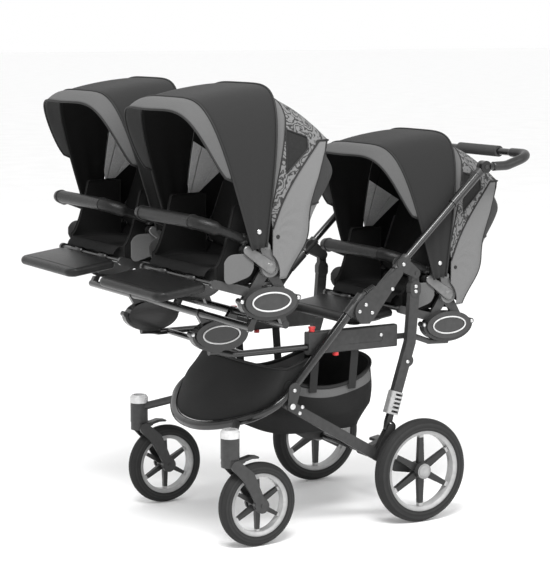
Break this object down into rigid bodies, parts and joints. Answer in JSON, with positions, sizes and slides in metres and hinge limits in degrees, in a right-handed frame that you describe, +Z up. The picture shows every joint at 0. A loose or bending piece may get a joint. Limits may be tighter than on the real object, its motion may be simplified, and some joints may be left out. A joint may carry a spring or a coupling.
{
  "type": "triple stroller",
  "caption": "Folding stroller frame with swivelling front wheels, sprung rear wheels and lift-off hooded seats, a pair in front and one behind, over a cloth basket.",
  "frame": {"origin": "on the floor, under the middle of the bounding box", "axes": "+Z up, -Y the way the stroller is pushed, +X its left side as the pusher faces forward"},
  "size_m": [0.976, 1.2976, 1.2191],
  "materials": {
    "frame_paint": "gloss black powder coat",
    "frame_plastic": "satin dark grey",
    "black_plastic": "satin black",
    "pale_plastic": "satin light grey",
    "steel": "plain bolts and springs",
    "wheel_silver": "satin silver grey",
    "tyre": "matt black",
    "red_plastic": "glossy dark red",
    "foam": "matt black foam",
    "basket_cloth": "black woven cloth",
    "seat_plastic": "dark grey moulding",
    "seat_lining": "black padded lining",
    "canopy_grey": "grey printed cloth",
    "canopy_dark": "charcoal cloth",
    "leatherette": "shiny black leatherette"
  },
  "bodies": {
    "chassis": {"front_hoop": "frame_paint", "swing_brackets": "frame_plastic", "caster_posts": "frame_plastic", "caster_rings": "pale_plastic", "hinge_sockets": "frame_plastic", "rails": "frame_plastic", "rear_cradles": "frame_paint", "basket": "basket_cloth", "front_panel": "basket_cloth"},
    "release": {"release_collars": "black_plastic"},
    "push_frame": {"push_tubes": "frame_paint", "upper_brackets": "frame_plastic", "hinge_covers": "frame_plastic", "handle_joints": "frame_plastic"},
    "handle": {"handle_bar": "frame_paint", "handle_grip": "foam"},
    "legs": {"rear_legs": "frame_paint", "shock_covers": "pale_plastic", "shock_springs": "steel"},
    "plungers": {"shock_plungers": "black_plastic"},
    "arm_bolts": {"swing_pivots": "steel"},
    "swing_arm": {"swing_arms": "frame_paint", "rear_axle": "frame_paint"},
    "brake": {"brake_pedal": "black_plastic"},
    "rear_wheel_left": {"rear_rim_left": "wheel_silver", "rear_tyre_left": "tyre"},
    "rear_wheel_right": {"rear_rim_right": "wheel_silver", "rear_tyre_right": "tyre"},
    "caster_left": {"fork_left": "black_plastic"},
    "caster_right": {"fork_right": "black_plastic"},
    "lock_left": {"swivel_lock_left": "black_plastic"},
    "lock_right": {"swivel_lock_right": "black_plastic"},
    "front_wheel_left": {"front_rim_left": "wheel_silver", "front_tyre_left": "tyre"},
    "front_wheel_right": {"front_rim_right": "wheel_silver", "front_tyre_right": "tyre"},
    "carriage": {"carriage_frame": "frame_paint"},
    "knobs": {"carriage_knobs": "red_plastic"},
    "adapter": {"twin_adapter": "frame_paint"},
    "seat_left": {"seat_frame_left": "seat_plastic", "seat_tub_left": "seat_lining"},
    "back_left": {"backrest_frame_left": "seat_plastic", "backrest_cover_left": "canopy_grey"},
    "hood_left": {"hood_left": "canopy_dark"},
    "bar_left": {"bumper_bar_left": "foam"},
    "footrest_left": {"footrest_left": "leatherette"},
    "seat_right": {"seat_frame_right": "seat_plastic", "seat_tub_right": "seat_lining"},
    "back_right": {"backrest_frame_right": "seat_plastic", "backrest_cover_right": "canopy_grey"},
    "hood_right": {"hood_right": "canopy_dark"},
    "bar_right": {"bumper_bar_right": "foam"},
    "footrest_right": {"footrest_right": "leatherette"},
    "seat_rear": {"seat_frame_rear": "seat_plastic", "seat_tub_rear": "seat_lining"},
    "back_rear": {"backrest_frame_rear": "seat_plastic", "backrest_cover_rear": "canopy_grey"},
    "hood_rear": {"hood_rear": "canopy_dark"},
    "bar_rear": {"bumper_bar_rear": "foam"},
    "footrest_rear": {"footrest_rear": "leatherette"}
  },
  "joints": [
    {"name": "frame_fold", "type": "hinge", "parent": "chassis", "child": "arm_bolts", "pos_m": [0.243, -0.15824, 0.36054], "axis": [1, 0, 0], "range_deg": [0, 12.98]},
    {"name": "push_fold", "type": "hinge", "parent": "chassis", "child": "push_frame", "pos_m": [0.243, 0.06902, 0.59984], "axis": [1, 0, 0], "range_deg": [0, 35.01]},
    {"name": "leg_fold", "type": "hinge", "parent": "push_frame", "child": "legs", "pos_m": [0.243, 0.23847, 0.69085], "axis": [1, 0, 0], "range_deg": [-22.23, 0]},
    {"name": "suspension", "type": "hinge", "parent": "arm_bolts", "child": "swing_arm", "pos_m": [0.243, -0.15824, 0.36054], "axis": [1, 0, 0], "range_deg": [0, 3.2], "stiffness_Nm_per_rad": 2500, "springref_deg": -3.44},
    {"name": "shock_slide", "type": "slide", "parent": "legs", "child": "plungers", "axis": [0, 0.2974, 0.9548], "range_m": [0, 0.01884], "deforming": ["shock_springs"]},
    {"name": "handle_tilt", "type": "hinge", "parent": "push_frame", "child": "handle", "pos_m": [0.243, 0.47053, 0.97426], "axis": [1, 0, 0], "range_deg": [-15, 45]},
    {"name": "release_pull", "type": "slide", "parent": "chassis", "child": "release", "axis": [0, -0.9063, -0.4226], "range_m": [0, 0.006], "stiffness_N_per_m": 400, "springref_m": -0.004},
    {"name": "brake_press", "type": "hinge", "parent": "swing_arm", "child": "brake", "pos_m": [0, 0.24068, 0.145], "axis": [1, 0, 0], "range_deg": [-15, 0]},
    {"name": "rear_wheel_spin_left", "type": "hinge", "parent": "swing_arm", "child": "rear_wheel_left", "pos_m": [0.279, 0.24068, 0.145], "axis": [1, 0, 0], "continuous": true},
    {"name": "rear_wheel_spin_right", "type": "hinge", "parent": "swing_arm", "child": "rear_wheel_right", "pos_m": [-0.279, 0.24068, 0.145], "axis": [1, 0, 0], "continuous": true},
    {"name": "caster_swivel_left", "type": "hinge", "parent": "chassis", "child": "caster_left", "pos_m": [0.27, -0.35332, 0.25], "axis": [0, 0, 1], "continuous": true},
    {"name": "swivel_lock_press_left", "type": "hinge", "parent": "caster_left", "child": "lock_left", "pos_m": [0.27, -0.32132, 0.236], "axis": [1, 0, 0], "range_deg": [0, 12]},
    {"name": "front_wheel_spin_left", "type": "hinge", "parent": "caster_left", "child": "front_wheel_left", "pos_m": [0.27, -0.27332, 0.113], "axis": [1, 0, 0], "continuous": true},
    {"name": "caster_swivel_right", "type": "hinge", "parent": "chassis", "child": "caster_right", "pos_m": [-0.27, -0.35332, 0.25], "axis": [0, 0, 1], "continuous": true},
    {"name": "swivel_lock_press_right", "type": "hinge", "parent": "caster_right", "child": "lock_right", "pos_m": [-0.27, -0.32132, 0.236], "axis": [1, 0, 0], "range_deg": [0, 12]},
    {"name": "front_wheel_spin_right", "type": "hinge", "parent": "caster_right", "child": "front_wheel_right", "pos_m": [-0.27, -0.27332, 0.113], "axis": [1, 0, 0], "continuous": true},
    {"name": "carriage_slide", "type": "slide", "parent": "chassis", "child": "carriage", "axis": [0, -1, 0], "range_m": [0, 0.08]},
    {"name": "knob_pull", "type": "slide", "parent": "chassis", "child": "knobs", "axis": [0, 0, 1], "range_m": [0, 0.003], "stiffness_N_per_m": 500, "springref_m": -0.004},
    {"name": "adapter_lift", "type": "slide", "parent": "carriage", "child": "adapter", "axis": [0, 0, 1], "range_m": [0, 0.07]},
    {"name": "seat_lift_left", "type": "slide", "parent": "adapter", "child": "seat_left", "axis": [0, 0, 1], "range_m": [0, 0.06]},
    {"name": "recline_left", "type": "hinge", "parent": "seat_left", "child": "back_left", "pos_m": [0.262, -0.34832, 0.77], "axis": [1, 0, 0], "range_deg": [-15, 3]},
    {"name": "hood_fold_left", "type": "hinge", "parent": "back_left", "child": "hood_left", "pos_m": [0.262, -0.36332, 0.824], "axis": [1, 0, 0], "range_deg": [-35, 0]},
    {"name": "bar_swing_left", "type": "hinge", "parent": "seat_left", "child": "bar_left", "pos_m": [0.456, -0.41432, 0.842], "axis": [0, 0, 1], "range_deg": [0, 40]},
    {"name": "footrest_tilt_left", "type": "hinge", "parent": "seat_left", "child": "footrest_left", "pos_m": [0.262, -0.49832, 0.736], "axis": [1, 0, 0], "range_deg": [0, 35]},
    {"name": "seat_lift_right", "type": "slide", "parent": "adapter", "child": "seat_right", "axis": [0, 0, 1], "range_m": [0, 0.06]},
    {"name": "recline_right", "type": "hinge", "parent": "seat_right", "child": "back_right", "pos_m": [-0.262, -0.34832, 0.77], "axis": [1, 0, 0], "range_deg": [-15, 3]},
    {"name": "hood_fold_right", "type": "hinge", "parent": "back_right", "child": "hood_right", "pos_m": [-0.262, -0.36332, 0.824], "axis": [1, 0, 0], "range_deg": [-35, 0]},
    {"name": "bar_swing_right", "type": "hinge", "parent": "seat_right", "child": "bar_right", "pos_m": [-0.456, -0.41432, 0.842], "axis": [0, 0, 1], "range_deg": [-40, 0]},
    {"name": "footrest_tilt_right", "type": "hinge", "parent": "seat_right", "child": "footrest_right", "pos_m": [-0.262, -0.49832, 0.736], "axis": [1, 0, 0], "range_deg": [0, 35]},
    {"name": "seat_lift_rear", "type": "slide", "parent": "chassis", "child": "seat_rear", "axis": [0, 0, 1], "range_m": [0, 0.06]},
    {"name": "recline_rear", "type": "hinge", "parent": "seat_rear", "child": "back_rear", "pos_m": [0, 0.37768, 0.618], "axis": [1, 0, 0], "range_deg": [-12, 3]},
    {"name": "hood_fold_rear", "type": "hinge", "parent": "back_rear", "child": "hood_rear", "pos_m": [0, 0.36268, 0.672], "axis": [1, 0, 0], "range_deg": [-15, 0]},
    {"name": "bar_swing_rear", "type": "hinge", "parent": "seat_rear", "child": "bar_rear", "pos_m": [-0.194, 0.31168, 0.69], "axis": [0, 0, 1], "range_deg": [-12, 0]},
    {"name": "footrest_tilt_rear", "type": "hinge", "parent": "seat_rear", "child": "footrest_rear", "pos_m": [0, 0.22768, 0.584], "axis": [1, 0, 0], "range_deg": [0, 30]}
  ],
  "couplings": [
    {"joint": "push_fold", "follows": "frame_fold", "ratio": 2.6965},
    {"joint": "leg_fold", "follows": "frame_fold", "ratio": -1.7117},
    {"joint": "shock_slide", "follows": "suspension", "m_per_rad": 0.33376}
  ]
}
